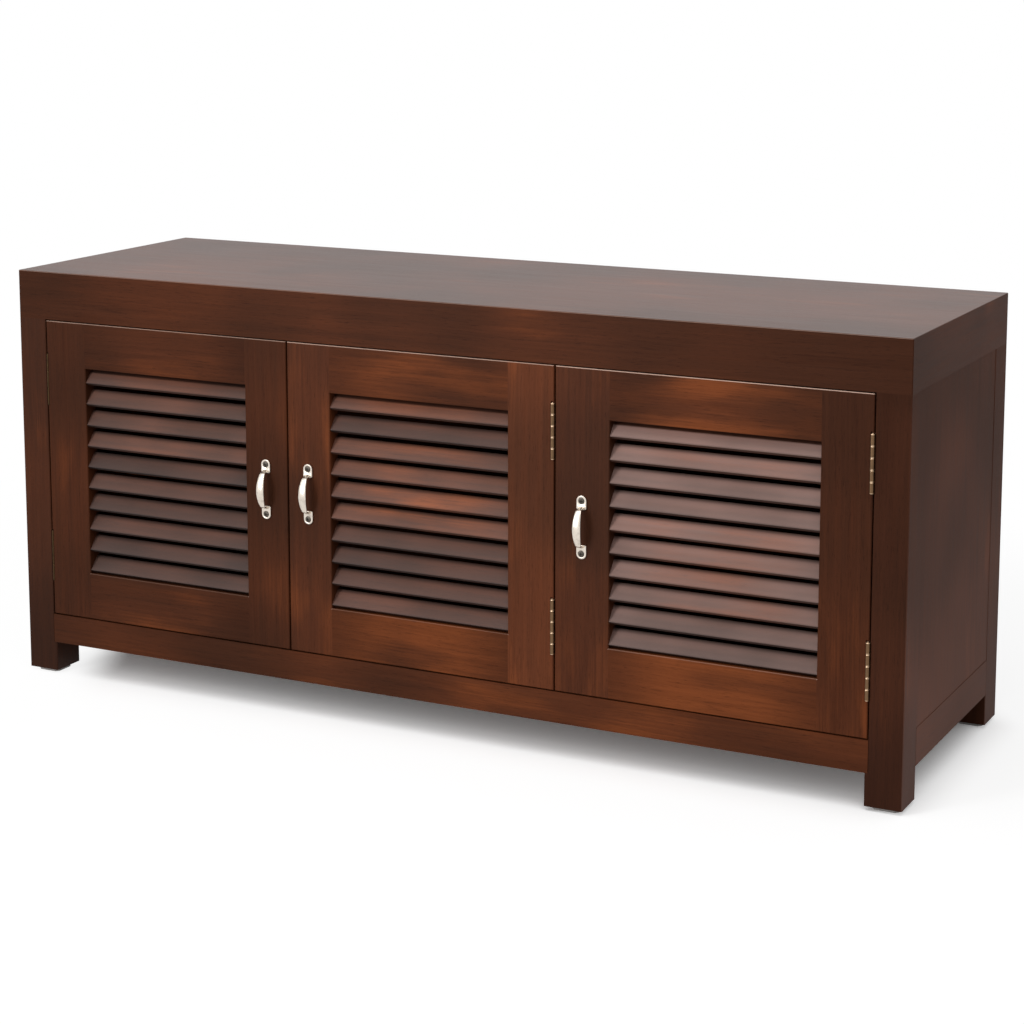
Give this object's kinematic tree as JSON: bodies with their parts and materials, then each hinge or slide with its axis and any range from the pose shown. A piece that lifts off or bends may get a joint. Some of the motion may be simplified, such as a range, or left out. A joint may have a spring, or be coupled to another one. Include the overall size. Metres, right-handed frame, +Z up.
{
  "type": "louvred door cabinet",
  "caption": "Low wooden cabinet with louvred hinged doors, bow pull handles, short square legs and a shelf behind the doors.",
  "frame": {"origin": "on the floor, in the middle of the whole cabinet's outline, handles included", "axes": "+X to the right as one faces the doors, +Y towards the back, +Z up"},
  "size_m": [1.14, 0.3765, 0.51],
  "materials": {
    "stained_wood": "satin",
    "satin_nickel": "satin",
    "hinge_brass": "polished",
    "strike_steel": "satin",
    "catch_plastic": "matte",
    "glide_plastic": "matte"
  },
  "bodies": {
    "carcass": {"apron": "stained_wood", "back_panel": "stained_wood", "base_panel": "stained_wood", "bottom_rail_left": "stained_wood", "bottom_rail_rear": "stained_wood", "bottom_rail_right": "stained_wood", "glides": "glide_plastic", "left_frame_hinge_leaves": "hinge_brass", "left_hinge_pins": "hinge_brass", "leg_front_left": "stained_wood", "leg_front_right": "stained_wood", "leg_rear_left": "stained_wood", "leg_rear_right": "stained_wood", "magnetic_catches": "catch_plastic", "middle_frame_hinge_leaves": "hinge_brass", "middle_hinge_pins": "hinge_brass", "partition": "stained_wood", "right_frame_hinge_leaves": "hinge_brass", "right_hinge_pins": "hinge_brass", "shelf_cleats": "stained_wood", "shelf_left": "stained_wood", "shelf_right": "stained_wood", "side_panel_left": "stained_wood", "side_panel_right": "stained_wood", "stop_rail_left": "stained_wood", "stop_rail_right": "stained_wood", "top_panel": "stained_wood", "top_rail_front": "stained_wood", "top_rail_left": "stained_wood", "top_rail_rear": "stained_wood", "top_rail_right": "stained_wood"},
    "left_door": {"left_door_bottom_rail": "stained_wood", "left_door_handle": "satin_nickel", "left_door_hinge_leaves": "hinge_brass", "left_door_hinge_stile": "stained_wood", "left_door_lock_stile": "stained_wood", "left_door_louvres": "stained_wood", "left_door_strike_plate": "strike_steel", "left_door_top_rail": "stained_wood"},
    "middle_door": {"middle_door_bottom_rail": "stained_wood", "middle_door_handle": "satin_nickel", "middle_door_hinge_leaves": "hinge_brass", "middle_door_hinge_stile": "stained_wood", "middle_door_lock_stile": "stained_wood", "middle_door_louvres": "stained_wood", "middle_door_strike_plate": "strike_steel", "middle_door_top_rail": "stained_wood"},
    "right_door": {"right_door_bottom_rail": "stained_wood", "right_door_handle": "satin_nickel", "right_door_hinge_leaves": "hinge_brass", "right_door_hinge_stile": "stained_wood", "right_door_lock_stile": "stained_wood", "right_door_louvres": "stained_wood", "right_door_strike_plate": "strike_steel", "right_door_top_rail": "stained_wood"}
  },
  "joints": [
    {"name": "left_door_hinge", "type": "hinge", "parent": "carcass", "child": "left_door", "pos_m": [-0.53, -0.17055, 0.26425], "axis": [0, 0, -1], "range_deg": [0, 110]},
    {"name": "middle_door_hinge", "type": "hinge", "parent": "carcass", "child": "middle_door", "pos_m": [0.1617, -0.17295, 0.26425], "axis": [0, 0, 1], "range_deg": [0, 110]},
    {"name": "right_door_hinge", "type": "hinge", "parent": "carcass", "child": "right_door", "pos_m": [0.5292, -0.17295, 0.26425], "axis": [0, 0, 1], "range_deg": [0, 110]}
  ]
}
